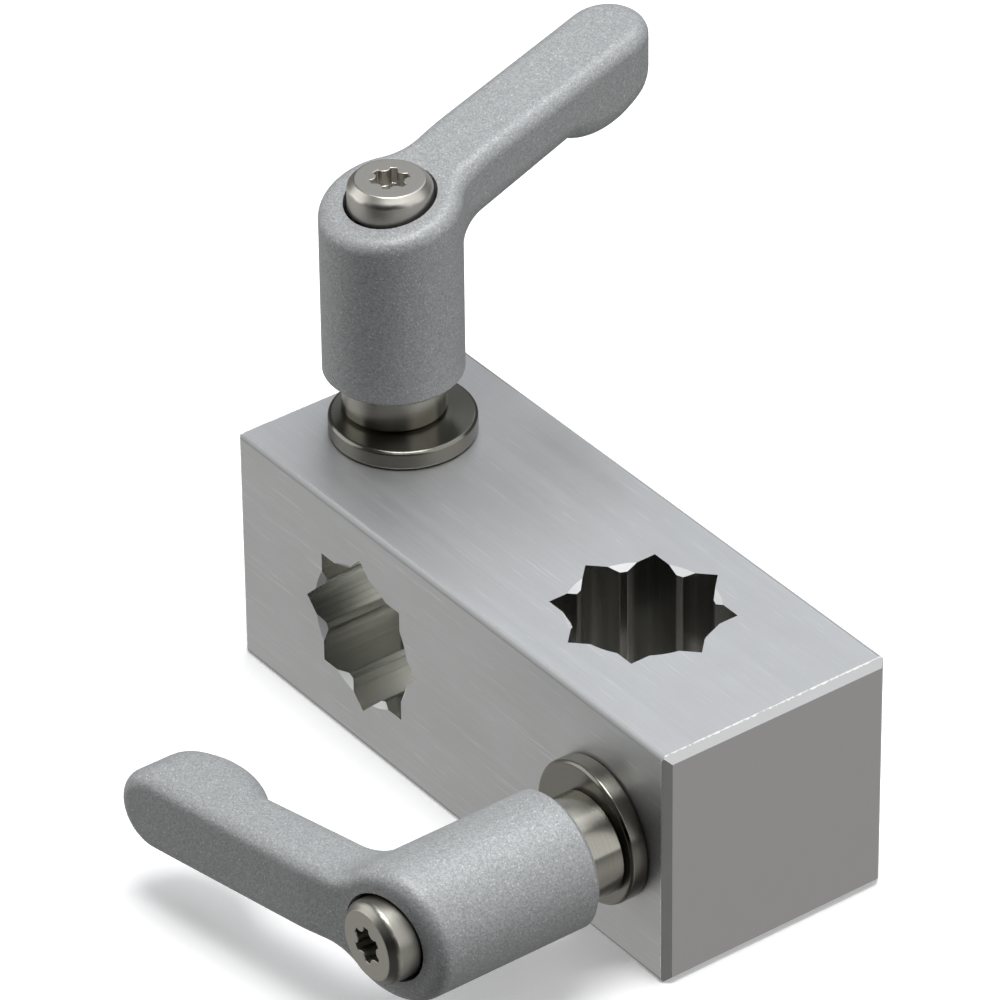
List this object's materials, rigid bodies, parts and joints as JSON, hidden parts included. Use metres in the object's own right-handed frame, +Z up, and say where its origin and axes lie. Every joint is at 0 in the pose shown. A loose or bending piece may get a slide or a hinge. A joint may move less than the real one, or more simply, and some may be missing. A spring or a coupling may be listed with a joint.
{
  "type": "sensor bracket",
  "caption": "Square clamp block with crossed star holes for round or square rods, each clamped by an adjustable lever that draws a notched bolt against the rod.",
  "frame": {"origin": "middle of the bar's underside", "axes": "+X along the bar towards the end with the vertical rod hole, +Y towards the face without a lever, +Z up towards the face with the top lever"},
  "size_m": [0.0666, 0.0758, 0.0552],
  "materials": {
    "block_aluminium": "extruded bar, brushed lengthwise, ends sawn and chamfered",
    "bolt_steel": "turned steel, broached",
    "disc_steel": "turned stainless steel",
    "insert_steel": "turned stainless steel",
    "handle_coat": "die cast zinc with a silver textured powder coat",
    "screw_steel": "tumbled stainless steel",
    "spring_steel": "drawn spring wire"
  },
  "bodies": {
    "clamp": {"clamp_block": "block_aluminium", "top_disc": "disc_steel", "side_disc": "disc_steel"},
    "top_lever": {"top_insert": "insert_steel", "top_retaining_screw": "screw_steel", "top_return_spring": "spring_steel"},
    "top_grip": {"top_handle": "handle_coat"},
    "top_bolt": {"top_draw_bolt": "bolt_steel"},
    "side_lever": {"side_insert": "insert_steel", "side_retaining_screw": "screw_steel", "side_return_spring": "spring_steel"},
    "side_grip": {"side_handle": "handle_coat"},
    "side_bolt": {"side_draw_bolt": "bolt_steel"}
  },
  "joints": [
    {"name": "top_lever_turn", "type": "hinge", "parent": "clamp", "child": "top_lever", "pos_m": [-0.0245, 0, 0.025], "axis": [0, 0, -1], "range_deg": [-90, 270]},
    {"name": "top_bolt_draw", "type": "slide", "parent": "clamp", "child": "top_bolt", "axis": [0, 0, 1], "range_m": [-0.00021, 0.00061]},
    {"name": "top_handle_lift", "type": "slide", "parent": "top_lever", "child": "top_grip", "axis": [0, 0, 1], "range_m": [0, 0.0033], "stiffness_N_per_m": 1300, "springref_m": -0.004, "deforming": ["top_return_spring"]},
    {"name": "side_lever_turn", "type": "hinge", "parent": "clamp", "child": "side_lever", "pos_m": [0.0245, -0.0125, 0.0125], "axis": [0, 1, 0], "range_deg": [-90, 270]},
    {"name": "side_bolt_draw", "type": "slide", "parent": "clamp", "child": "side_bolt", "axis": [0, -1, 0], "range_m": [-0.00021, 0.00061]},
    {"name": "side_handle_lift", "type": "slide", "parent": "side_lever", "child": "side_grip", "axis": [0, -1, 0], "range_m": [0, 0.0033], "stiffness_N_per_m": 1300, "springref_m": -0.004, "deforming": ["side_return_spring"]}
  ],
  "couplings": [
    {"joint": "top_bolt_draw", "follows": "top_lever_turn", "m_per_rad": 0.00012732},
    {"joint": "side_bolt_draw", "follows": "side_lever_turn", "m_per_rad": 0.00012732}
  ]
}
